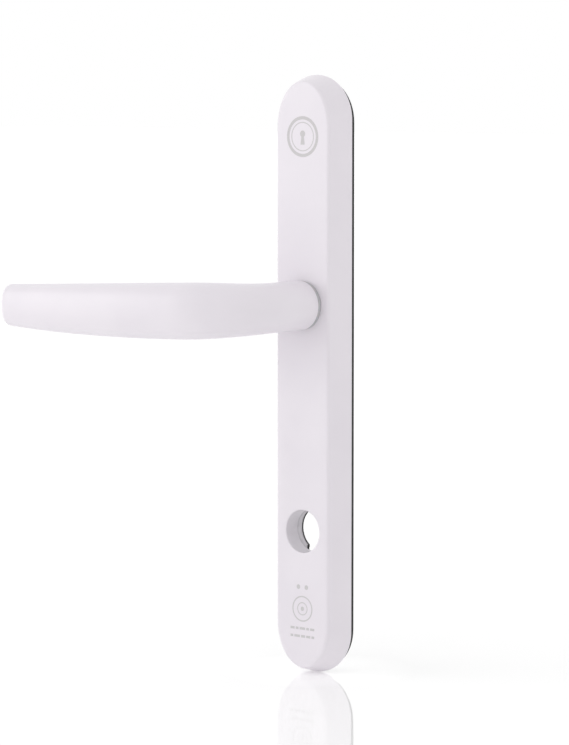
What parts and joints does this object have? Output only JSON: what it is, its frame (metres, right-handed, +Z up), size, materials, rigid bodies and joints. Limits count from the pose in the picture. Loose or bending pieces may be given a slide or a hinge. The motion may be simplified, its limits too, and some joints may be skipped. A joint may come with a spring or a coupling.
{
  "type": "door lever handle",
  "caption": "Sprung lever handle on a long round-ended backplate, with a round guarded hole for a euro profile cylinder.",
  "frame": {"origin": "on the spindle axis, in the plane of the door face that the gasket rests on", "axes": "+Z up the backplate, +Y into the door, +X to the right seen from in front; the lever points to -X"},
  "size_m": [0.1463, 0.0676, 0.243],
  "materials": {
    "powder_coat": "satin",
    "gasket_rubber": "matte",
    "zinc_plated_steel": "satin",
    "hardened_steel": "satin",
    "spring_steel": "satin",
    "nylon": "matte"
  },
  "bodies": {
    "plate": {"backplate": "powder_coat", "gasket": "gasket_rubber", "support_plate": "zinc_plated_steel", "support_screws": "zinc_plated_steel", "cylinder_guard": "hardened_steel", "guard_screws": "zinc_plated_steel", "fixing_post_top": "zinc_plated_steel", "fixing_post_bottom": "zinc_plated_steel", "lever_bush": "nylon", "spring_stop_pin": "zinc_plated_steel", "return_spring": "spring_steel", "spring_cover": "zinc_plated_steel", "cover_screws": "zinc_plated_steel"},
    "lever": {"lever": "powder_coat", "spindle_sleeve": "zinc_plated_steel", "spindle_clip": "spring_steel", "drive_disc": "zinc_plated_steel", "thrust_washer": "nylon", "wave_washer": "spring_steel", "circlip": "spring_steel"}
  },
  "joints": [
    {"name": "lever_turn", "type": "hinge", "parent": "plate", "child": "lever", "pos_m": [0, 0, 0], "axis": [0, 1, 0], "range_deg": [-45, 45], "stiffness_Nm_per_rad": 1.5, "deforming": ["return_spring"]}
  ]
}
